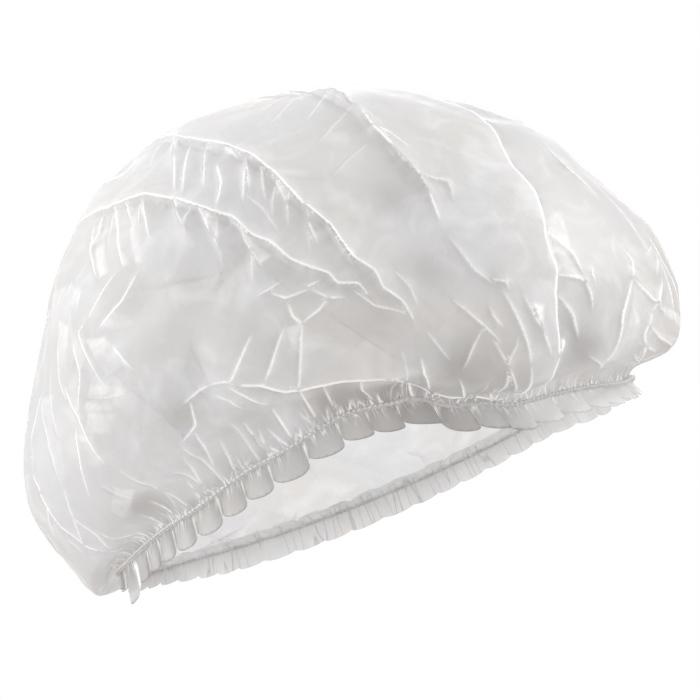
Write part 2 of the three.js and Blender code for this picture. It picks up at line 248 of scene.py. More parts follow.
# Doubled film, whiter than one layer: corners as (angle, row) pairs, then whiteness
DOUBLED = [
    ([(313, 8.0), (316, 7.3), (316, 6.6), (311, 6.8)], 1.0),
    ([(312, 7.3), (316, 7.3), (320, 8.5), (314, 8.2)], 0.7),
    ([(226, 13.3), (232, 11.1), (235, 11.1), (229, 13.1)], 0.7),
    ([(233, 13.1), (239, 11.0), (241, 10.9), (236, 12.9)], 0.7),
    ([(239, 12.9), (242, 10.9), (244, 10.8), (242, 12.6)], 0.5),
    ([(264, 10.6), (266, 9.3), (270, 9.5), (266, 10.1)], 0.8),
    ([(258, 11.4), (260, 10.2), (262, 10.7), (260, 11.2)], 0.6),
    ([(304, 6.3), (306, 6.2), (304, 5.5)], 0.9),
    ([(220, 11.7), (226, 11.1), (225, 10.6), (220, 11.0)], 0.6),
    ([(232, 9.8), (236, 10.1), (241, 9.3), (236, 9.5)], 0.4),
    ([(228, 9.7), (233, 9.5), (239, 8.4), (233, 8.4)], 0.6),
    ([(228, 8.2), (229, 8.5), (236, 8.0), (236, 7.7)], 0.35),
    ([(227, 7.9), (228, 8.1), (235, 7.7), (233, 7.4)], 0.4),
    ([(226, 7.3), (228, 7.8), (234, 7.3), (231, 6.9)], 0.4),
    ([(224, 7.2), (224, 7.4), (229, 7.1), (227, 6.9)], 0.45),
    ([(217, 10.9), (222, 10.4), (222, 9.1), (218, 9.7)], 0.5),
    ([(212, 9.1), (218, 8.9), (218, 8.0), (215, 7.6)], 0.3),
    ([(225, 5.5), (228, 4.8), (220, 2.9), (220, 4.8)], 0.4),
    ([(268, 7.7), (269, 6.9), (268, 6.7)], 0.9),
    ([(266, 7.0), (269, 6.9), (267, 6.1), (266, 6.2)], 0.7),
    ([(326, 5.9), (328, 5.2), (324, 5.0)], 0.6),
    ([(297, 6.1), (298, 6.0), (297, 5.4), (297, 5.8)], 0.6),
    ([(308, 5.3), (309, 5.2), (308, 4.9), (306, 4.5)], 0.8),
    ([(318, 4.0), (328, 6.3), (338, 6.3), (336, 2.2)], 0.35),
    ([(328, 6.8), (329, 6.4), (334, 5.8), (332, 6.5)], 0.4),
    ([(330, 5.0), (350, 4.4), (350, 4.1), (328, 4.5)], 0.45),
    ([(339, 5.7), (354, 5.2), (354, 4.6), (339, 5.4)], 0.5),
    ([(202, 12.3), (221, 11.6), (224, 10.0), (212, 10.6)], 0.3),
]

# Film that a fold behind it shades: corners as (angle, row) pairs, then darkness
SHADED = [
    ([(250, 8.1), (251, 7.2), (251, 6.8), (248, 6.4), (248, 7.4)], 0.6),
    ([(237, 10.2), (247, 9.9), (254, 9.5), (261, 9.2), (261, 9.5), (254, 9.8), (249, 10.0),
      (240, 10.4)], 0.5),
    ([(298, 10.7), (308, 9.6), (314, 9.2), (310, 8.7), (298, 9.2)], 0.3),
]

# Soft shade in the hollows of the film: angle, row, spread in millimetres and darkness
HOLLOWS = [
    (223, 2.9, 6.0, 0.5),
    (245, 6.1, 6.5, 0.4),
    (268, 2.4, 10.0, 0.8),
    (271, 1.0, 8.0, 0.6),
    (279, 1.2, 9.0, 0.85),
    (254, 3.0, 9.0, 0.3),
    (245, 1.0, 5.5, 0.3),
    (226, 2.0, 5.5, 0.3),
    (312, 4.8, 8.5, 0.65),
    (290, 4.7, 13.0, 0.7),
    (298, 3.7, 7.0, 0.6),
    (290, 7.6, 9.0, 0.5),
    (300, 7.0, 4.5, 0.3),
    (291, 9.8, 8.0, 0.35),
    (279, 7.6, 4.5, 0.3),
    (280, 9.8, 5.5, 0.2),
    (280, 6.4, 8.0, 0.3),
    (286, 2.1, 10.0, 0.8),
    (294, 1.6, 9.0, 0.6),
    (279, 1.2, 6.5, 0.75),
    (274, 1.0, 6.0, 0.5),
]

# Soft dents: angle, row, spread in millimetres and depth
DENTS = [
    (251, 8.0, 9.0, 2.6),
    (249, 6.6, 8.0, 2.4),
    (287, 9.8, 16.0, 2.6),
    (294, 7.8, 12.0, 2.0),
    (256, 9.4, 9.0, 1.8),
    (244, 9.8, 9.0, 2.0),
    (311, 5.6, 8.0, 2.6),
    (291, 5.2, 10.0, 2.2),
    (226, 3.4, 9.0, 2.6),
    (267, 6.0, 12.0, 1.6),
    (266, 10.2, 8.0, 1.5),
    (203, 10.8, 26.0, 2.2),
    (238, 15.6, 24.0, -2.4),
    (335, 12.2, 9.0, 1.6),
]

# Length of the ruffle below the band: angle and millimetres
RUFFLE_HANG = np.array([
    [0, 5.0],
    [30, 7.6],
    [90, 8.4],
    [130, 8.0],
    [158, 5.6],
    [188, 5.6],
    [191, 8.5],
    [195, 12.5],
    [201, 12.5],
    [206, 9.0],
    [216, 8.6],
    [300, 9.0],
    [325, 7.0],
    [345, 4.6],
    [360, 5.0],
])

# Opening, gathers and ruffle: one tab of the ruffle continues each gather
GATHERS = 52
OPENING_X, OPENING_Y = 96.0, 80.0
RUFFLE_DROP, RUFFLE_FLARE = 8.4, 2.5
GATHER_DEPTH, GATHER_FADE = 0.7, 1.6
TAB_RADIAN = 1.69
LONG_TAB = 191.0, 205.2
ROW_LENGTH = 12.5

# Elastic and thread, which a fold hides near one angle
BAND_GAP, BAND_THICKNESS, BAND_HEIGHT = 1.1, 1.0, 1.8
BAND_SIDES, RINGS_PER_STITCH = 12, 6
STITCHES, THREAD_SIDES = 340, 6
THREAD_LIFT, THREAD_RADIUS, BEAD_RADIUS = 0.3, 0.12, 0.36
HIDDEN_ANGLE, HIDDEN_SPREAD, HIDDEN_DEPTH = 289, 10, 1.1

# One stitch in eight steps: height on the band, how far it stands out, and share of a bead
STITCH = np.array([
    [-1.0, 0.1, 0.2],
    [-0.5, 0.35, 0.8],
    [0.5, 0.35, 1.0],
    [1.0, 0.1, 0.8],
    [1.0, -0.15, 0.2],
    [0.5, -0.2, 0.0],
    [-0.5, -0.2, 0.0],
    [-1.0, -0.15, 0.0],
])

# Lines placed by chance: seed, numbers, and the lowest and highest height and whiteness, which sets
# their painted highlight
SEED = 7
CHANCE_CREASES, NECK_GATHERS = 85, 230
PLEAT_HEIGHT, PLEAT_WHITE_AND_HIGHLIGHT = (1.0, 1.9), (0.3, 0.8)
CHANCE_HEIGHT, CHANCE_WHITE_AND_HIGHLIGHT = (0.6, 1.2), (0.3, 0.9)
GATHER_HEIGHT, GATHER_WHITE_AND_HIGHLIGHT = (0.5, 1.0), (0.3, 0.9)
GATHER_ROWS, GATHER_SHARES = [1.5, 2.3, 3.2, 4.6], [0.55, 0.27, 0.12, 0.06]
SHORT_GATHERS, CALM_GATHERS = (300, 350), (185, 214)
BROAD_SLOPE, NARROW_SLOPE = 4.0, 1.6

# Facets of the crumpled film: number of corners, height and seed; middle and radii of the crown
CRUMPLES = [(110, 1.6, 11), (420, 1.0, 12)]
CROWN_MIDDLE, CROWN_RADII = np.array([0.0, 0.0, 22.0]), np.array([120.0, 110.0, 118.0])

# Steps along lines, and triangle sides: along them, at the neck, and on plain film below each row
CREASE_STEPS, LAP_STEPS, OUTLINE_STEPS = 12, 70, 60
NEAR_FINE, FAR_FINE, NECK_FINE = 0.75, 1.3, 0.9
PLAIN_SIDES = [(0, 0.9), (2, 1.15), (4, 2.0), (APEX_ROW + 1, 3.5)]
FAR_COARSER, FINE_REACH, FINE_GROWTH = 1.4, 1.2, 0.9
SPLIT_OVER, SPLIT_ROUNDS, COLUMNS = 1.35, 6, 96

# Parts of a triangle, by how many of its sides are split: corners are 0 to 2 and middles 3 to 5
SPLIT_PARTS = [
    (0, [0, 1, 2]),
    (1, [0, 3, 2]), (1, [3, 1, 2]),
    (2, [3, 1, 4]), (2, [0, 3, 4]), (2, [0, 4, 2]),
    (3, [3, 4, 5]), (3, [0, 3, 5]), (3, [1, 4, 3]), (3, [2, 5, 4]),
]

# A crease: its painted highlight as a halo on the sloping side and its painted shade on the steep side,
# with their reach
HALO, HALO_REACH = 0.42, 0.55
CREASE_SHADE, CREASE_SHADE_REACH = 0.3, 1.6

# A lap: step under its lip, tuck over it, painted bright line and painted glow on it, and painted shade
# of the folds under it
STEP_REACH, TUCK, TUCK_REACH = 2.3, 0.4, 2.2
LIP_LINE, GLOW, GLOW_REACH = 0.3, 0.35, 3.0
LAP_SHADE, FOLD_SHADE, LAP_SHADE_REACH = 0.32, 0.2, 4.5

# Tabs of the ruffle: values on the far side and what the near side adds, then their pleats
TAB_DEPTH, TAB_SLIDE, TAB_EDGE = (1.4, 2.4), (0.7, 1.3), (0.9, 3.3)
TAB_PLEATS, PLEAT_DEPTH = 4, 0.35

# Painted shade at the neck, in the tabs, under the fold and at the hem; painted light over the top and
# at the left
NECK_SHADE, TAB_SHADE, UNDER_SHADE, HEM_SHADE = 0.4, 0.3, 0.6, 0.9
TOP_PAINTED_LIGHT, LEFT_PAINTED_LIGHT = 0.35, 0.1

# Marks on the film's points: whiteness with painted highlights, painted shade (painted light below 0),
# and distance and glint of the strongest bright line there
MARKS = ("white_and_highlight", "shade", "line", "glint")
NO_LINE = 9.0
LINE_REACH, LINE_FADE = 1.35, 0.6

# Noise in the materials: mottled whiteness, milkiness, tones, bump, elastic grain, gather streaks
# painted as highlights near and as shade far
MOTTLE_SCALE, HAZE_SCALE, TONE_SCALE, BUMP_SCALE, GRAIN_SCALE = 150, 60, 26, 48, 600
NEAR_STREAKS, FAR_STREAKS = 50.0, 21.0
LINE_SHARPNESS = 5.0

# Colours of the film: two tones of one layer, painted shade of a hollow, a crease's whiteness with
# painted highlight by reflected light and its painted shade through it, then milkiness with painted
# light
COOL_FILM, WARM_FILM = (0.575, 0.575, 0.59), (0.57, 0.555, 0.54)
SHADED_FILM = (0.235, 0.214, 0.197)
WHITE_AND_HIGHLIGHT_FILM, SHADED_CREASE_FILM = (0.99, 0.99, 0.99), (0.1, 0.1, 0.1)
HAZE_AND_PAINTED_LIGHT_FILM = (0.84, 0.84, 0.845)
DARK_ELASTIC, PALE_ELASTIC = (0.58, 0.57, 0.56), (0.74, 0.74, 0.75)
THREAD_COLOUR, FLOOR_COLOUR = (0.97, 0.97, 0.97), (0.62, 0.6, 0.58)


def ease(value):
    """Smooth step from 0 to 1."""
    share = np.clip(value, 0.0, 1.0)
    return share * share * (3 - 2 * share)


def bell(distance, spread):
    """Smooth hump, 1 at no distance and nearly 0 at two spreads."""
    return np.exp(-(distance / spread) ** 2)


def taper(along, ends):
    """Strength along a line, full in the middle and small at its ends."""
    return np.sin(np.pi * (ends + (1 - 2 * ends) * along)) ** 0.6


def unit(vectors):
    return vectors / np.maximum(np.linalg.norm(vectors, axis=-1, keepdims=True), 1e-9)


def whole_degrees(angle):
    """Degrees from 0 to 360 of angles in radians."""
    return np.mod(np.degrees(angle), 360)


def section_value(column, row):
    """Smooth value of one column of SECTIONS at fractional rows."""
    values = SECTIONS[:, column]
    index = np.clip(np.floor(row).astype(int), 0, APEX_ROW - 1)
    share = row - index
    before, start = values[np.maximum(index - 1, 0)], values[index]
    end, after = values[index + 1], values[np.minimum(index + 2, APEX_ROW)]
    linear = (end - before) * share
    square = (2 * before - 5 * start + 4 * end - after) * share ** 2
    cube = (3 * start - before - 3 * end + after) * share ** 3
    return start + 0.5 * (linear + square + cube)


def around_value(table, column, angle):
    """Value of one column of a table of angles, eased from row to row."""
    degrees = whole_degrees(angle)
    starts = table[:, ANGLE]
    index = np.clip(np.searchsorted(starts, degrees, side="right") - 1, 0, len(starts) - 2)
    share = ease((degrees - starts[index]) / (starts[index + 1] - starts[index]))
    return table[index, column] * (1 - share) + table[index + 1, column] * share


def crown_form(angle, row):
    """Smooth puffed form of the crown, before gathers and folds."""
    rise = section_value(RISE, row)
    reach_x = np.where(np.cos(angle) > 0, section_value(FRONT, row), section_value(BACK, row))
    reach_y = np.where(np.sin(angle) > 0, section_value(LEFT, row), section_value(RIGHT, row))
    lift = around_value(RIM_WAVE, LIFT, angle) * ease(1 - rise / LIFT_FADE_RISE)
    hang_share = bell(row - HANG_ROW, HANG_SPREAD) * ease((row - 1) / 2)
    hang = around_value(RIM_WAVE, HANG, angle) * hang_share
    return np.stack([reach_x * np.cos(angle), reach_y * np.sin(angle), rise + lift + hang], axis=-1)


def crown_frame(angle, row):
    """Outward direction and direction up the film at places on the smooth form."""
    step = 0.02
    around = crown_form(angle + step, row) - crown_form(angle - step, row)
    low, high = np.maximum(row - step, 0), np.minimum(row + step, APEX_ROW)
    upward = crown_form(angle, high) - crown_form(angle, low)
    return unit(np.cross(around, upward)), unit(upward)


def rim_form(angle):
    """Points of the band's line, with the directions outward and around at each."""
    rim = np.stack([OPENING_X * np.cos(angle), OPENING_Y * np.sin(angle),
                    around_value(RIM_WAVE, LIFT, angle)], axis=-1)
    flat = np.zeros_like(angle)
    outward = unit(np.stack([np.cos(angle) / OPENING_X, np.sin(angle) / OPENING_Y, flat], axis=-1))
    around = np.stack([-outward[..., 1], outward[..., 0], flat], axis=-1)
    return rim, outward, around


def smooth_form(angle, row):
    """Film without relief: the crown at rows from 0 up, the ruffle at rows down to -1."""
    crown = crown_form(angle, np.maximum(row, 0))
    rim, outward, _ = rim_form(angle)
    share = np.clip(-row, 0, 1)[..., None]
    ruffle = rim + outward * RUFFLE_FLARE * share - np.array([0, 0, RUFFLE_DROP]) * share
    return np.where((row < 0)[..., None], ruffle, crown)


def curve(pairs, steps):
    """Line through (angle, row) pairs with softened corners: angles, rows and points."""
    pairs = np.array(pairs, float)
    places = np.linspace(0, 1, len(pairs))
    share = np.linspace(0, 1, steps)
    weight = bell(share[:, None] - places[None, :], 0.6 / (len(pairs) - 1))
    weight[0], weight[-1] = np.eye(len(pairs))[0], np.eye(len(pairs))[-1]
    sharp = np.stack([np.interp(share, places, pairs[:, k]) for k in (0, 1)], axis=1)
    soft = (weight @ pairs) / weight.sum(axis=1, keepdims=True)
    line = 0.5 * sharp + 0.5 * soft
    angle, row = np.radians(line[:, 0]), line[:, 1]
    return angle, row, crown_form(angle, row)


def far_side(angle):
    """Whether the angle is on the side away from the camera, where the film shows less."""
    return np.sin(angle) > 0.1


def fine_side(degrees, near=NEAR_FINE):
    """Triangle side wanted along a line at an angle in degrees."""
    return FAR_FINE if far_side(np.radians(degrees)) else near


class Feature:
    """A line on the film, with the triangle side wanted along it and the values of its kind."""

    def __init__(self, kind, pairs, steps, fine, **values):
        self.kind, self.fine, self.values = kind, fine, values
        self.angle, self.row, self.points = curve(pairs, steps)
        self.length = np.linalg.norm(np.diff(self.points, axis=0), axis=1).sum()


def crease_feature(pairs, height, white_and_highlight, fine=NEAR_FINE, steep=0.8, slope=3.5):
    """A crease; the sign of its slope says on which side it slopes."""
    return Feature("crease", pairs, CREASE_STEPS, fine, height=height, white_and_highlight=white_and_highlight, steep=steep,
                   slope=slope)


def lap_features():
    laps = []
    for lift, reach, pairs in LAPS:
        fine = fine_side(np.mean([angle for angle, _ in pairs]))
        laps.append(Feature("lap", pairs, LAP_STEPS, fine, lift=lift, reach=reach))
    return laps


def pleat_features(laps, rng):
    """Creases that hang from the laps, roughly evenly spread along each."""
    pleats = []
    for lap, first, last, count, length in PLEATS:
        edge = laps[lap]
        known = np.arange(len(edge.angle))
        for k in range(count):
            share = first + (last - first) * (k + rng.uniform(0.2, 0.8)) / count
            place = share * known[-1]
            angle = np.degrees(np.interp(place, known, edge.angle))
            row = np.interp(place, known, edge.row)
            rows = length * rng.uniform(0.5, 1.1) / ROW_LENGTH
            drift = rng.uniform(-2.5, 2.5)
            pairs = [(angle, row - 0.08), (angle + 0.5 * drift, row - 0.5 * rows),
                     (angle + drift, row - rows)]
            height, white_and_highlight = rng.uniform(*PLEAT_HEIGHT), rng.uniform(*PLEAT_WHITE_AND_HIGHLIGHT)
            slope = rng.choice([-BROAD_SLOPE, BROAD_SLOPE])
            pleats.append(crease_feature(pairs, height, white_and_highlight, fine_side(angle), 0.9, slope))
    return pleats


def chance_features(rng):
    """Creases on the far side and at the ends, where the photograph shows none to follow."""
    creases = []
    for _ in range(CHANCE_CREASES):
        angle, row = rng.uniform(-28, 190), rng.uniform(3.2, 15.5)
        reach = max(section_value(LEFT, np.array([row]))[0], 25)
        length, turn = rng.uniform(12, 40), rng.normal(np.pi / 2, 0.7)
        half_angle = np.degrees(0.5 * length * np.cos(turn) / reach)
        half_rows = 0.5 * length * np.sin(turn) / ROW_LENGTH
        bend = rng.uniform(-2, 2)
        pairs = [(angle - half_angle, row - half_rows), (angle + bend, row),
                 (angle + half_angle, row + half_rows)]
        pairs = [(a, float(np.clip(r, 1.2, APEX_ROW - 1))) for a, r in pairs]
        height = rng.choice([1.2, -1.0]) * rng.uniform(*CHANCE_HEIGHT)
        white_and_highlight, slope = rng.uniform(*CHANCE_WHITE_AND_HIGHLIGHT), rng.choice([-BROAD_SLOPE, BROAD_SLOPE])
        creases.append(crease_feature(pairs, height, white_and_highlight, 1.1, 1.0, slope))
    return creases


def gather_features(rng):
    """Short creases that rise from the band, where the elastic draws the film together."""
    gathers = []
    for k in range(NECK_GATHERS):
        angle = 360.0 * (k + rng.uniform(-0.35, 0.35)) / NECK_GATHERS
        rows = rng.choice(GATHER_ROWS, p=GATHER_SHARES) * rng.uniform(0.8, 1.2)
        drift = rng.uniform(-3.0, 3.0)
        if SHORT_GATHERS[0] < angle < SHORT_GATHERS[1]:
            rows, drift = min(rows, 1.6), 0.4 * drift
        pairs = [(angle, 0.05), (angle + 0.35 * drift, 0.5 * rows), (angle + drift, rows)]
        calm = far_side(np.radians(angle)) or CALM_GATHERS[0] < angle < CALM_GATHERS[1]
        white_and_highlight = rng.uniform(*GATHER_WHITE_AND_HIGHLIGHT) * (0.5 if calm else 1.0)
        height, slope = rng.uniform(*GATHER_HEIGHT), rng.choice([-NARROW_SLOPE, NARROW_SLOPE])
        gathers.append(crease_feature(pairs, height, white_and_highlight, fine_side(angle, NECK_FINE), 0.75, slope))
    return gathers


def make_features():
    """All lines on the film: laps, their pleats, traced creases, chance ones and gathers."""
    rng = np.random.default_rng(SEED)
    laps = lap_features()
    pleats = pleat_features(laps, rng)
    traced = [crease_feature([row[0:2], row[2:4], row[4:6]], *row[6:]) for row in CREASES]
    return laps + pleats + traced + chance_features(rng) + gather_features(rng)


def line_strength(signed):
    """Strength of a bright line by the distance from it."""
    return ease((LINE_REACH - np.abs(signed)) / LINE_FADE)


def cross(first, second):
    """Cross product of vectors in a plane."""
    return first[..., 0] * second[..., 1] - first[..., 1] * second[..., 0]


class Relief:
    """Offsets of the film from its smooth form at given places, its whiteness and painted highlights
    there, and its painted shade and light.
    """

    def __init__(self, angle, row):
        self.angle, self.row = angle, row
        self.point = crown_form(angle, row)
        self.outward, self.upward = crown_frame(angle, row)
        self.slide = np.zeros((len(angle), 3))
        self.out, self.white_and_highlight, self.shade, self.glint = np.zeros((4, len(angle)))
        self.line, self.rival = np.full((2, len(angle)), NO_LINE)

    def raise_white_and_highlight(self, index, white_and_highlight):
        self.white_and_highlight[index] = np.maximum(self.white_and_highlight[index], white_and_highlight)

    def darken(self, index, dark):
        self.shade[index] = np.maximum(self.shade[index], dark)

    def mark(self, index, signed, strength):
        """Keep the signed distance to the strongest line, and the distance to its rival."""
        strength = strength * line_strength(signed)
        unlit = (self.glint[index] == 0) & (np.abs(signed) < np.abs(self.line[index]))
        better = (strength > self.glint[index]) | unlit
        loser = np.where(better, np.abs(self.line[index]), np.abs(signed))
        self.rival[index] = np.minimum(self.rival[index], loser)
        self.glint[index[better]] = strength[better]
        self.line[index[better]] = signed[better]

    def calm_rivals(self):
        """Fade the line where another is as near, because the distance jumps between them."""
        self.glint *= ease((self.rival - np.abs(self.line)) / LINE_FADE)

    def nearest(self, feature, reach):
        """Points within reach of a line: index, distance, signed distance, place along it."""
        points = feature.points
        low, high = points.min(axis=0) - reach, points.max(axis=0) + reach
        index = np.where(np.all((self.point > low) & (self.point < high), axis=1))[0]
        here = self.point[index]
        best = np.full(len(index), np.inf)
        side, along = np.zeros(len(index)), np.zeros(len(index))
        count = len(points) - 1
        for k in range(count):
            start, span = points[k], points[k + 1] - points[k]
            share = np.clip(((here - start) @ span) / max(span @ span, 1e-9), 0, 1)
            offset = here - start - share[:, None] * span
            gap = np.linalg.norm(offset, axis=1)
            closer = gap < best
            best[closer] = gap[closer]
            along[closer] = (k + share[closer]) / count
            across = np.cross(self.outward[index[closer]], span)
            side[closer] = np.einsum("ij,ij->i", across, offset[closer])
        keep = best < reach
        index, best, along = index[keep], best[keep], along[keep]
        return index, best, np.where(side[keep] >= 0, best, -best), along

    def crease(self, feature):
        """A sharp ridge or furrow, steep with painted shade on one side, sloping with a painted
        highlight on the other, and a painted bright line along it.
        """
        values = feature.values
        broad = abs(values["slope"])
        index, gap, signed, along = self.nearest(feature, 3.0 * broad)
        sloping = signed * np.sign(values["slope"]) > 0
        strength = taper(along, 0.03)
        white_and_highlight = values["white_and_highlight"] * strength
        shape = np.where(sloping, np.exp(-gap / broad), np.exp(-(gap / values["steep"]) ** 1.2))
        self.out[index] += values["height"] * strength * shape
        self.mark(index, signed, white_and_highlight)
        self.raise_white_and_highlight(index, white_and_highlight * np.where(sloping, HALO * np.exp(-gap / (HALO_REACH * broad)), 0))
        dark = CREASE_SHADE * white_and_highlight * np.exp(-gap / CREASE_SHADE_REACH)
        self.darken(index, np.where(sloping, 0, dark))

    def lap(self, feature):
        """The upper layer stands out to a lip that overhangs the layer under it."""
        lift, reach = feature.values["lift"], feature.values["reach"]
        index, gap, signed, along = self.nearest(feature, 3.2 * reach)
        strength = taper(along, 0.04)
        place = feature.length * along
        wave = 1 + 0.1 * np.sin(place / 3.9) * np.sin(place / 8.3 + 1)
        upper = signed >= 0
        step = ease(1 - gap / STEP_REACH)
        fall = np.where(upper, np.exp(-gap / reach), step)
        under = np.where(upper, 0.0, np.exp(-gap / (0.6 * reach)) * (1 - step))
        self.out[index] += strength * lift * (0.5 * wave * fall - 0.4 * under)
        tuck = TUCK * strength * wave * np.where(upper, np.exp(-gap / TUCK_REACH), step)
        self.slide[index] -= self.upward[index] * tuck[:, None]
        # Painted highlight along the lip and glowing over the upper layer; painted shade in the folds
        # under it
        self.mark(index, signed - LIP_LINE, strength ** 0.5)
        self.raise_white_and_highlight(index, strength ** 0.5 * np.where(upper, GLOW * np.exp(-gap / GLOW_REACH), 0))
        fold = 0.5 + 0.5 * np.sin(place / 1.4 + 1.3 * np.sin(place / 2.9))
        dark = (LAP_SHADE + FOLD_SHADE * fold) * np.exp(-gap / LAP_SHADE_REACH)
        self.darken(index, strength * np.where(upper, 0, dark))

    def bell_round(self, angle, row, spread):
        """Smooth hump round one place, by the straight distance from it."""
        centre = crown_form(np.radians([angle]), np.array([row]))[0]
        return bell(np.linalg.norm(self.point - centre, axis=1), spread)

    def dent(self, angle, row, spread, depth):
        self.out -= depth * self.bell_round(angle, row, spread)

    def hollow(self, angle, row, spread, dark):
        """Shade that adds to what is there without passing full darkness."""
        self.shade = 1 - (1 - self.shade) * (1 - dark * self.bell_round(angle, row, spread))

    def patch(self, corners):
        """How far places lie in a patch of film: crisp at its first edge, fading from it."""
        corners = np.array(corners, float)
        centre = corners.mean(axis=0)
        scale = np.array([np.radians(1) * section_value(LEFT, centre[1:])[0], ROW_LENGTH])
        here = np.stack([whole_degrees(self.angle), self.row], axis=1)
        here, corners = (here - centre) * scale, (corners - centre) * scale
        after = np.roll(corners, -1, axis=0)
        edges = np.sign(cross(corners, after).sum()) * unit(after - corners)
        depth = np.stack([cross(edge, here - start) for edge, start in zip(edges, corners)])
        full_depth = max(cross(edges[0], corners[2] - corners[0]), 1.0)
        fade = 1 - 0.75 * np.clip(depth[0] / full_depth, 0, 1)
        return fade * ease((depth.min(axis=0) + 0.5) / 1.6)


def hull_crumple(points, corners, height, seed):
    """Creased facets: random heights at corners on a sphere, flat between them."""
    rng = np.random.default_rng(seed)
    z = rng.uniform(-0.5, 1.0, corners)
    turn = rng.uniform(0, 2 * np.pi, corners)
    flat = np.sqrt(1 - np.clip(z, -1, 1) ** 2)
    sphere = np.stack([flat * np.cos(turn), flat * np.sin(turn), z], axis=1)
    sphere = np.vstack([sphere, [[0, 0, -1]]])
    heights = rng.uniform(-height, height, len(sphere))
    shell = bmesh.new()
    for place in sphere:
        shell.verts.new(place)
    shell.verts.index_update()
    bmesh.ops.convex_hull(shell, input=shell.verts)
    shell.faces.ensure_lookup_table()
    faces = [[v.index for v in f.verts] for f in shell.faces]
    shell.free()
    tree = BVHTree.FromPolygons([Vector(p) for p in sphere], faces)
    rays = unit((points - CROWN_MIDDLE) / CROWN_RADII)
    origin = Vector((0, 0, 0))
    hits, found = np.zeros((len(points), 3)), np.zeros(len(points), int)
    for i, ray in enumerate(rays):
        hit, _, face, _ = tree.ray_cast(origin, Vector(ray))
        hits[i], found[i] = (hit, face) if face is not None else ((0, 0, 0), 0)
    corner = np.array(faces)[found]
    weights = np.linalg.solve(np.transpose(sphere[corner], (0, 2, 1)), hits[..., None])[..., 0]
    return np.einsum("ij,ij->i", weights, heights[corner])


def right_end_shade(angle):
    """Share of the neck's shade that is left: less at the forehead end, where the film is pale."""
    return 1 - 0.8 * ease((whole_degrees(angle) - 300) / 9)


def crown_points(angle, row, features):
    """Points of the crown's film, and its MARKS at each."""
    relief = Relief(angle, row)
    everywhere = slice(None)
    for feature in features:
        getattr(relief, feature.kind)(feature)
    for dent in DENTS:
        relief.dent(*dent)
    for corners, white_and_highlight in DOUBLED:
        relief.raise_white_and_highlight(everywhere, white_and_highlight * relief.patch(corners))
    for corners, dark in SHADED:
        relief.darken(everywhere, dark * relief.patch(corners))
    for hollow in HOLLOWS:
        relief.hollow(*hollow)
    relief.calm_rivals()

    # Painted shade at the near side's neck; painted light at the far side's neck, over the top and at
    # the left end
    near, neck = ease(0.5 - 1.2 * np.sin(angle)) * right_end_shade(angle), bell(row, 1.5)
    relief.darken(everywhere, NECK_SHADE * near * neck)
    relief.shade -= ease(2 * np.sin(angle)) * neck
    relief.shade -= TOP_PAINTED_LIGHT * ease((row - 12.5) / 2.5)
    relief.shade -= LEFT_PAINTED_LIGHT * bell(whole_degrees(angle) - 212, 14) * ease((row - 4) / 2)

    # Crumples away from the neck and the apex, a lower crown that sinks a little, and gathers
    high = ease((row - 2.5) / 3) * ease((APEX_ROW - row) / 2)
    relief.out += high * sum(hull_crumple(relief.point, *crumple) for crumple in CRUMPLES)
    relief.out -= 1.4 * ease(row / 6) - 1.6 * ease((row - 9.5) / 2)
    relief.out += GATHER_DEPTH * np.cos(GATHERS * angle) * bell(row, GATHER_FADE)
    point = relief.point + relief.outward * relief.out[:, None] + relief.slide
    return point, np.stack([getattr(relief, name) for name in MARKS], axis=1)


def ruffle_points(angle, share):
    """Points of the ruffle and its MARKS: tabs stand out between tucks and lap over at one side.

    A share of 0 is at the band and 1 at the hem. The near side's tabs are the deep ones.
    """
    near = 0.5 + 0.5 * np.tanh(-4 * np.sin(angle))
    phase = GATHERS * angle + 0.9 * np.sin(5 * angle) + 0.6 * np.sin(13 * angle + 1)
    across = (whole_degrees(angle) - LONG_TAB[0]) / (LONG_TAB[1] - LONG_TAB[0])
    phase = np.where((across > 0) & (across < 1), np.pi * (1 + 2 * across), phase)
    bulge = np.abs(np.cos(0.5 * phase)) ** (0.7 + 0.3 * near)
    depth, slide, edge = (far + more * near for far, more in (TAB_DEPTH, TAB_SLIDE, TAB_EDGE))
    pleat = np.cos(TAB_PLEATS * phase + 1.5 * np.sin(7 * angle)) * np.exp(-4.5 * share)
    out = 1.6 * share + depth * (0.25 + 0.75 * share) * (bulge - 0.45) + PLEAT_DEPTH * pleat
    slide = slide * share ** 0.6 * np.sin(phase + 0.8)
    rim, outward, around = rim_form(angle)
    drop = around_value(RUFFLE_HANG, 1, angle)
    edge = edge * (bulge - 0.6) + 0.5 * np.sin(3 * angle + 2)
    point = rim + outward * out[:, None] + around * slide[:, None]
    point[:, 2] -= share * (drop + edge * share)

    # Painted highlights as a bright line and a pale band at each overlap; painted shade at the hem and
    # in and under the fold, a little on the far side too; painted light at the forehead end
    signed = (np.mod(phase, 2 * np.pi) - np.pi + 0.75) * TAB_RADIAN
    glint = near * ease(share / 0.3) * line_strength(signed)
    white_and_highlight = 0.5 * ease((pleat - 0.25) / 0.5)
    white_and_highlight = np.maximum(white_and_highlight, 0.45 * near * np.exp(-np.abs(signed - 0.6) / 1.2))
    hem = ease((share - 0.93) / 0.07)
    face = np.mod(phase + 0.6, 2 * np.pi) / (2 * np.pi)
    under = UNDER_SHADE * bell(whole_degrees(angle) - 284, 10)
    shade = near * (TAB_SHADE + 0.4 * np.sin(np.pi * face) ** 2) * (1 - 0.4 * share)
    shade = shade * right_end_shade(angle) + under + HEM_SHADE * near * hem
    shade = np.clip(shade + 0.2 * (1 - near) - 0.7 * (1 - right_end_shade(angle)), -1, 1)
    return point, np.stack([white_and_highlight, shade, signed, glint], axis=1)


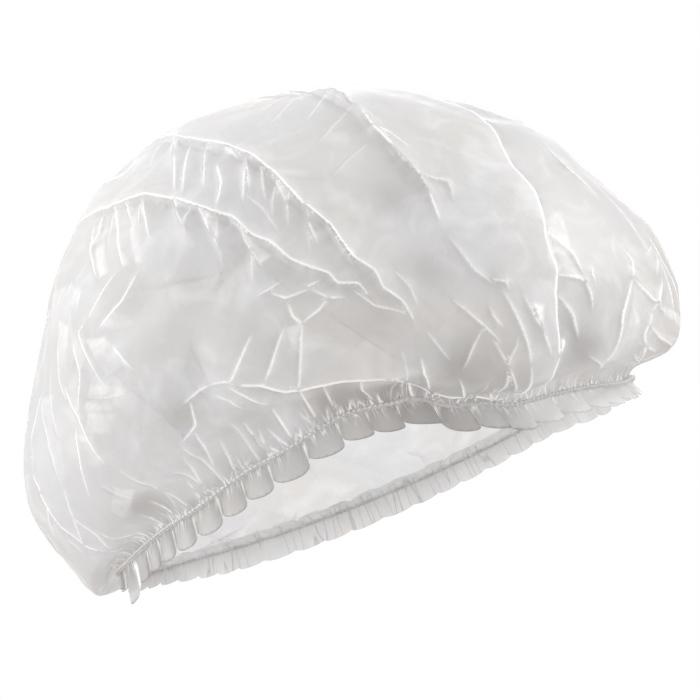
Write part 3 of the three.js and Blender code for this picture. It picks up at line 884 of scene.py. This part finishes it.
def coarse_net():
    """First coarse triangles of the film, as angle and row at each corner."""
    rows = np.concatenate([[-1, -0.5, 0, 0.5], np.arange(1, APEX_ROW)])
    angle = np.tile(2 * np.pi * np.arange(COLUMNS) / COLUMNS, len(rows))
    row = np.repeat(rows, COLUMNS)
    index = np.arange(len(row)).reshape(len(rows), COLUMNS)
    beside = np.roll(index, -1, axis=1)
    quads = np.stack([index[:-1], beside[:-1], beside[1:], index[1:]], axis=-1).reshape(-1, 4)
    cap = np.stack([index[-1], beside[-1], np.full(COLUMNS, len(row))], axis=-1)
    triangles = np.concatenate([quads[:, [0, 1, 2]], quads[:, [0, 2, 3]], cap])
    return np.append(angle, 0.0), np.append(row, float(APEX_ROW)), triangles


def middle(angle, row, a, b):
    """Angle and row half way between pairs of places; the apex has no angle of its own."""
    turn = np.mod(angle[b] - angle[a] + np.pi, 2 * np.pi) - np.pi
    half = angle[a] + 0.5 * turn
    half = np.where(row[a] == APEX_ROW, angle[b], np.where(row[b] == APEX_ROW, angle[a], half))
    return half, 0.5 * (row[a] + row[b])


def turned(rows, first):
    """Rows of three, each turned round to start at its own first place."""
    return np.take_along_axis(rows, (np.arange(3)[None, :] + first[:, None]) % 3, 1)


def split_once(angle, row, triangles, wanted):
    """Split every edge that is longer than wanted at its middle, and count the edges split."""
    point = smooth_form(angle, row)
    sides = np.sort(np.stack([triangles, np.roll(triangles, -1, axis=1)], axis=-1).reshape(-1, 2))
    edges, back = np.unique(sides, axis=0, return_inverse=True)
    length = np.linalg.norm(point[edges[:, 0]] - point[edges[:, 1]], axis=1)
    half_angle, half_row = middle(angle, row, edges[:, 0], edges[:, 1])
    split = wanted(half_angle, half_row, length / SPLIT_OVER)
    fresh = np.full(len(edges), -1)
    fresh[split] = len(angle) + np.arange(split.sum())
    angle = np.append(angle, half_angle[split])
    row = np.append(row, half_row[split])
    mids = fresh[back.reshape(-1, 3)]
    halved = mids >= 0
    first = np.argmax(halved & ~np.roll(halved, 1, axis=1), axis=1)
    places = np.concatenate([turned(triangles, first), turned(mids, first)], axis=1)
    count = halved.sum(axis=1)
    parts = [places[count == number][:, corners] for number, corners in SPLIT_PARTS]
    return angle, row, np.concatenate(parts), int(split.sum())


def line_trees(features):
    """Places along the lines, in a search tree for each triangle side wanted there."""
    finest = {}
    for feature in features:
        steps = max(int(feature.length / 1.2), 2)
        share = np.linspace(0, len(feature.points) - 1, steps)
        known = np.arange(len(feature.points))
        spots = np.stack([np.interp(share, known, feature.points[:, k]) for k in range(3)], axis=1)
        finest.setdefault(feature.fine, []).append(spots)
    trees = []
    for fine, spots in finest.items():
        spots = np.concatenate(spots)
        tree = kdtree.KDTree(len(spots))
        for i, spot in enumerate(spots):
            tree.insert(Vector(spot), i)
        tree.balance()
        trees.append((fine, tree))
    return trees


def film_net(features):
    """Triangles of the film, small near the lines on it, round its patches and at the band."""
    smallest = min(feature.fine for feature in features)
    outlines = [Feature("outline", corners + corners[:1], OUTLINE_STEPS, NECK_FINE)
                for corners, _ in DOUBLED + SHADED]
    trees = line_trees(features + outlines)

    def wanted(angle, row, length):
        """Whether edges of this length are too long at these places."""
        plain = np.select([row < top for top, _ in PLAIN_SIDES], [side for _, side in PLAIN_SIDES])
        split = length > plain * np.where(far_side(angle), FAR_COARSER, 1.0)
        unsure = np.where(~split & (length > smallest))[0]
        point = smooth_form(angle[unsure], row[unsure])
        for fine, tree in trees:
            open_still = np.where(~split[unsure] & (length[unsure] > fine))[0]
            gap = np.array([tree.find(Vector(p))[2] for p in point[open_still]])
            index = unsure[open_still]
            split[index] = length[index] > fine + FINE_GROWTH * np.maximum(gap - FINE_REACH, 0)
        return split

    angle, row, triangles = coarse_net()
    for _ in range(SPLIT_ROUNDS):
        angle, row, triangles, count = split_once(angle, row, triangles, wanted)
        if count == 0:
            break
    return angle, row, triangles


def mesh_piece(name, points, faces):
    mesh = bpy.data.meshes.new(name)
    mesh.from_pydata((points * MM).tolist(), [], faces.tolist())
    mesh.shade_smooth()
    piece = bpy.data.objects.new(name, mesh)
    bpy.context.collection.objects.link(piece)
    return piece


def make_film():
    """The film's mesh, with its marks and where it is far, gathered and clear as attributes."""
    features = make_features()
    angle, row, triangles = film_net(features)
    crown, ruffle = row >= 0, row < 0
    points, marks = np.zeros((len(row), 3)), np.zeros((len(row), len(MARKS)))
    points[crown], marks[crown] = crown_points(angle[crown], row[crown], features)
    points[ruffle], marks[ruffle] = ruffle_points(angle[ruffle], -row[ruffle])
    film = mesh_piece("film", points, triangles)
    far = ease(0.5 + 2.5 * np.sin(angle))
    near_gather = np.where(row < 0, bell(row, 0.35), bell(row, 1.3))
    gather = near_gather * (1 - far) + bell(np.maximum(row, 0), 3.0) * far
    clear = far * ease(row / 0.3) * bell(row, 2.6)
    names = (*MARKS, "far", "gather", "clear")
    for name, values in zip(names, (*marks.T, far, gather, clear)):
        layer = film.data.attributes.new(name, "FLOAT", "POINT")
        layer.data.foreach_set("value", values.astype(np.float32))
    return film


def add_node(tree, kind, inputs, result=0, **settings):
    """New node of a tree; returns one output. An input is a value, a colour or a linked socket."""
    node = tree.nodes.new("ShaderNode" + kind)
    for name, value in settings.items():
        setattr(node, name, value)
    for name, value in inputs.items():
        if isinstance(value, bpy.types.NodeSocket):
            tree.links.new(value, node.inputs[name])
        else:
            node.inputs[name].default_value = (*value, 1) if isinstance(value, tuple) else value
    return node.outputs[result]


def calculated(tree, operation, *values):
    return add_node(tree, "Math", dict(enumerate(values)), operation=operation)


def product(tree, first, second):
    return calculated(tree, "MULTIPLY", first, second)


def mixed(tree, factor, first, second):
    """Colour between two, by a factor socket."""
    inputs = {"Factor": factor, "A": first, "B": second}
    return add_node(tree, "Mix", inputs, "Result", data_type="RGBA")


def ranged(tree, value, low, high, to_low=0, to_high=1):
    """Value moved from one range to another and kept inside it."""
    inputs = {"Value": value, "From Min": low, "From Max": high, "To Min": to_low, "To Max": to_high}
    return add_node(tree, "MapRange", inputs, "Result")


def cloud(tree, place, scale, detail):
    """Cloudy noise by the place on the object."""
    inputs = {"Vector": place, "Scale": scale, "Detail": detail, "Distortion": 0.8}
    return add_node(tree, "TexNoise", inputs, "Fac")


def attribute(tree, name):
    return add_node(tree, "Attribute", {}, "Fac", attribute_name=name)


def bump(tree, height, strength, distance):
    inputs = {"Height": height, "Strength": strength, "Distance": distance}
    return add_node(tree, "Bump", inputs, "Normal")


def new_material(name):
    material = bpy.data.materials.new(name)
    material.use_nodes = True
    material.node_tree.nodes.clear()
    return material, material.node_tree


def finished(material, surface):
    """The material with its surface linked to its output."""
    output = material.node_tree.nodes.new("ShaderNodeOutputMaterial")
    material.node_tree.links.new(surface, output.inputs["Surface"])
    return material


def gather_streaks(tree, place, far):
    """Thin lines that run up and down the film from the band, where it is gathered: painted highlights
    on the near side, painted shade in the light through the far side.
    """
    axes = tree.nodes.new("ShaderNodeSeparateXYZ")
    tree.links.new(place, axes.inputs["Vector"])
    halves = {"X": OPENING_X * MM, "Y": OPENING_Y * MM}
    flat = {axis: calculated(tree, "DIVIDE", axes.outputs[axis], half) for axis, half in halves.items()}
    ring = add_node(tree, "VectorMath", {0: add_node(tree, "CombineXYZ", flat)}, operation="NORMALIZE")
    rise = add_node(tree, "CombineXYZ", {"Z": product(tree, axes.outputs["Z"], 1.3)})
    spot = add_node(tree, "VectorMath", {0: ring, 1: rise})
    fine, broad = (add_node(tree, "TexNoise", {"Vector": spot, "Scale": scale, "Detail": 0.5}, "Fac")
                   for scale in (NEAR_STREAKS, FAR_STREAKS))
    fine_gap, broad_gap = (calculated(tree, "ABSOLUTE", calculated(tree, "SUBTRACT", value, 0.5))
                           for value in (fine, broad))
    near_lines = product(tree, ranged(tree, fine_gap, 0, 0.05, 1, 0),
                         ranged(tree, broad, 0.38, 0.6, 0.15, 1))
    far_lines = ranged(tree, broad_gap, 0, 0.03, 1, 0)
    return add_node(tree, "Mix", {"Factor": far, "A": near_lines, "B": far_lines}, "Result")


def film_material():
    """Thin translucent film: light passes through, creases are whiter with painted highlights, shade and
    light are painted into its colour, and the gloss is soft.
    """
    material, tree = new_material("film")
    place = add_node(tree, "TexCoord", {}, "Object")
    white_and_highlight, shade, far, line = (attribute(tree, name) for name in ("white_and_highlight", "shade", "far", "line"))

    # Painted highlights: bright lines, sharp by their distance, and gather streaks on top of the pale
    # areas
    square = product(tree, line, line)
    fall = calculated(tree, "EXPONENT", product(tree, square, -LINE_SHARPNESS))
    glint = product(tree, fall, attribute(tree, "glint"))
    streaks = product(tree, gather_streaks(tree, place, far), attribute(tree, "gather"))
    mottle = ranged(tree, cloud(tree, place, MOTTLE_SCALE, 4), 0.35, 0.65, 0.55, 1.15)
    white_and_highlight = product(tree, white_and_highlight, mottle)
    white_and_highlight = calculated(tree, "ADD", white_and_highlight, calculated(tree, "ADD", glint, streaks))
    white_and_highlight = calculated(tree, "MINIMUM", white_and_highlight, 1.0)

    # Colour: two tones in clouds, random milkiness and painted light, painted shade, and whiteness with
    # painted highlights; painted shade in the light through far creases
    smoke = ranged(tree, cloud(tree, place, HAZE_SCALE, 5), 0.5, 0.75, 0, 0.5)
    haze_and_painted_light = calculated(tree, "MAXIMUM", smoke, ranged(tree, shade, 0, -1))
    tones = ranged(tree, cloud(tree, place, TONE_SCALE, 3), 0.35, 0.65)
    pale = mixed(tree, haze_and_painted_light, mixed(tree, tones, COOL_FILM, WARM_FILM), HAZE_AND_PAINTED_LIGHT_FILM)
    shaded = mixed(tree, shade, pale, SHADED_FILM)
    tint = mixed(tree, white_and_highlight, shaded, WHITE_AND_HIGHLIGHT_FILM)
    passed = mixed(tree, product(tree, white_and_highlight, far), tint, SHADED_CREASE_FILM)

    ripple = cloud(tree, place, BUMP_SCALE, 5)
    normal = bump(tree, calculated(tree, "ADD", product(tree, streaks, 0.2), ripple), 0.45, 0.0016)
    surface = add_node(tree, "BsdfPrincipled", {"Base Color": tint, "Normal": normal,
                                                "Roughness": 0.42, "IOR": 1.5,
                                                "Specular IOR Level": 0.6})
    through = add_node(tree, "BsdfTranslucent", {"Color": passed, "Normal": normal})
    layer = add_node(tree, "MixShader", {"Fac": 0.5, 1: surface, 2: through})
    open_share = product(tree, ranged(tree, white_and_highlight, 0, 1, 1, 0),
                         ranged(tree, attribute(tree, "clear"), 0, 1, 0.2, 0.35))
    clear = add_node(tree, "BsdfTransparent", {})
    return finished(material, add_node(tree, "MixShader", {"Fac": open_share, 1: layer, 2: clear}))


def ring_faces(rings, sides):
    """Faces of a closed tube, whose points go round each ring in turn."""
    index = np.arange(rings * sides).reshape(rings, sides)
    along, beside = np.roll(index, -1, axis=0), np.roll(index, -1, axis=1)
    both = np.roll(along, -1, axis=1)
    return np.stack([index, along, both, beside], axis=-1).reshape(-1, 4)


def make_band():
    """Elastic in its gathered casing: a rounded flat ring with a rib at each stitch."""
    rings = STITCHES * RINGS_PER_STITCH
    angle = 2 * np.pi * np.arange(rings) / rings
    rim, outward, _ = rim_form(angle)
    rib = np.cos(STITCHES * angle)
    turn = 2 * np.pi * np.arange(BAND_SIDES) / BAND_SIDES
    depth = np.sign(np.cos(turn)) * np.abs(np.cos(turn)) ** 0.6
    height = np.sign(np.sin(turn)) * np.abs(np.sin(turn)) ** 0.6
    reach = BAND_GAP + 0.5 * BAND_THICKNESS * (1 + depth[None] * (0.85 + 0.15 * rib[:, None]))
    points = rim[:, None] + outward[:, None] * reach[..., None]
    points[..., 2] += 0.5 * BAND_HEIGHT * height[None] * (0.88 + 0.12 * rib[:, None])
    return mesh_piece("elastic_casing", points.reshape(-1, 3), ring_faces(rings, BAND_SIDES))


def band_material():
    """Matt woven elastic, off-white with a fine grain."""
    material, tree = new_material("gathered_casing")
    place = add_node(tree, "TexCoord", {}, "Object")
    grain = ranged(tree, cloud(tree, place, GRAIN_SCALE, 3), 0.3, 0.7)
    colour = mixed(tree, grain, DARK_ELASTIC, PALE_ELASTIC)
    inputs = {"Base Color": colour, "Roughness": 0.6, "Normal": bump(tree, grain, 0.3, 0.0002)}
    return finished(material, add_node(tree, "BsdfPrincipled", inputs))


def make_stitches():
    """Zigzag thread along the band, thick where a stitch shows as a bead."""
    steps = len(STITCH)
    step = np.arange(STITCHES * steps)
    wave, proud, bead = STITCH[step % steps].T
    angle = 2 * np.pi * (step + 0.25 * np.sin(5.1 * step)) / len(step)
    rim, outward, _ = rim_form(angle)
    hidden = np.exp(-((np.degrees(angle) - HIDDEN_ANGLE) / HIDDEN_SPREAD) ** 4)
    reach = BAND_GAP + BAND_THICKNESS + THREAD_LIFT + proud - HIDDEN_DEPTH * hidden
    line = rim + outward * reach[:, None]
    line[:, 2] += (0.1 + 0.08 * np.sin(1.7 * np.floor(step / steps))) * wave
    radius = (THREAD_RADIUS + BEAD_RADIUS * bead)[:, None, None]
    tangent = unit(np.roll(line, -1, axis=0) - np.roll(line, 1, axis=0))
    side = unit(np.cross(tangent, np.array([0.0, 0.0, 1.0])))
    rise = np.cross(side, tangent)
    turn = np.linspace(0, 2 * np.pi, THREAD_SIDES, endpoint=False)[None, :, None]
    points = line[:, None] + radius * (np.cos(turn) * side[:, None] + np.sin(turn) * rise[:, None])
    return mesh_piece("zigzag_stitches", points.reshape(-1, 3), ring_faces(len(line), THREAD_SIDES))


def thread_material():
    """White thread with a fine twist."""
    material, tree = new_material("thread")
    twist = add_node(tree, "TexWave", {"Scale": 900}, "Fac")
    inputs = {"Base Color": THREAD_COLOUR, "Roughness": 0.5, "Normal": bump(tree, twist, 0.4, 0.0002)}
    return finished(material, add_node(tree, "BsdfPrincipled", inputs))


def make_stage():
    """Pale floor."""
    ways = np.array([(-1, -1), (1, -1), (1, 1), (-1, 1)])
    corners = np.insert(FLOOR_HALF * ways, 2, FLOOR_Z, axis=1) / MM
    floor = mesh_piece("floor", corners, np.array([[0, 1, 2, 3]]))
    material, tree = new_material("floor")
    surface = add_node(tree, "BsdfPrincipled", {"Base Color": FLOOR_COLOUR, "Roughness": 0.9})
    floor.data.materials.append(finished(material, surface))


def make_light(name, size, power, place):
    light = bpy.data.lights.new(name, "AREA")
    light.shape = "DISK"
    light.size = size
    light.energy = power
    lamp = bpy.data.objects.new(name, light)
    lamp.location = place
    lamp.rotation_euler = (LIGHT_AIM - Vector(place)).to_track_quat("-Z", "Y").to_euler()
    bpy.context.collection.objects.link(lamp)


def make_world():
    """White room, dimmer on the camera's side."""
    world = bpy.data.worlds.new("studio")
    world.use_nodes = True
    bpy.context.scene.world = world
    tree = world.node_tree
    direction = add_node(tree, "TexCoord", {}, "Generated")
    depth = add_node(tree, "SeparateXYZ", {"Vector": direction}, "Y")
    inputs = {"Value": depth, "From Min": -0.7, "From Max": 0.6, "To Min": ROOM_NEAR, "To Max": ROOM_FAR}
    strength = add_node(tree, "MapRange", inputs, "Result", interpolation_type="SMOOTHSTEP")
    background = tree.nodes["Background"]
    tree.links.new(strength, background.inputs["Strength"])
    background.inputs["Color"].default_value = (1, 1, 1, 1)


def make_camera():
    camera = bpy.data.cameras.new("camera")
    camera.sensor_width = SENSOR
    camera.lens = SENSOR * CAMERA_DISTANCE / (IMAGE_WIDTH * PHOTO_SCALE)
    camera.clip_start = 0.01
    rig = bpy.data.objects.new("camera", camera)
    bpy.context.collection.objects.link(rig)
    look = Vector((0, math.cos(CAMERA_BELOW), math.sin(CAMERA_BELOW)))
    place = CAMERA_TARGET - look * CAMERA_DISTANCE
    upright = look.to_track_quat("-Z", "Y").to_matrix().to_4x4()
    rig.matrix_world = Matrix.Translation(place) @ upright @ Matrix.Rotation(-CAMERA_ROLL, 4, "Z")
    bpy.context.scene.camera = rig


def main():
    make_camera()
    make_world()
    for light in LIGHTS:
        make_light(*light)
    make_stage()
    film = make_film()
    film.data.materials.append(film_material())
    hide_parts("crown", "ruffle")
    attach(film, "root")
    band = make_band()
    band.data.materials.append(band_material())
    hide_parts("elastic_band")
    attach(band, "root")
    stitches = make_stitches()
    stitches.data.materials.append(thread_material())
    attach(stitches, "root")
    bpy.context.scene.view_settings.view_transform = "Standard"


main()
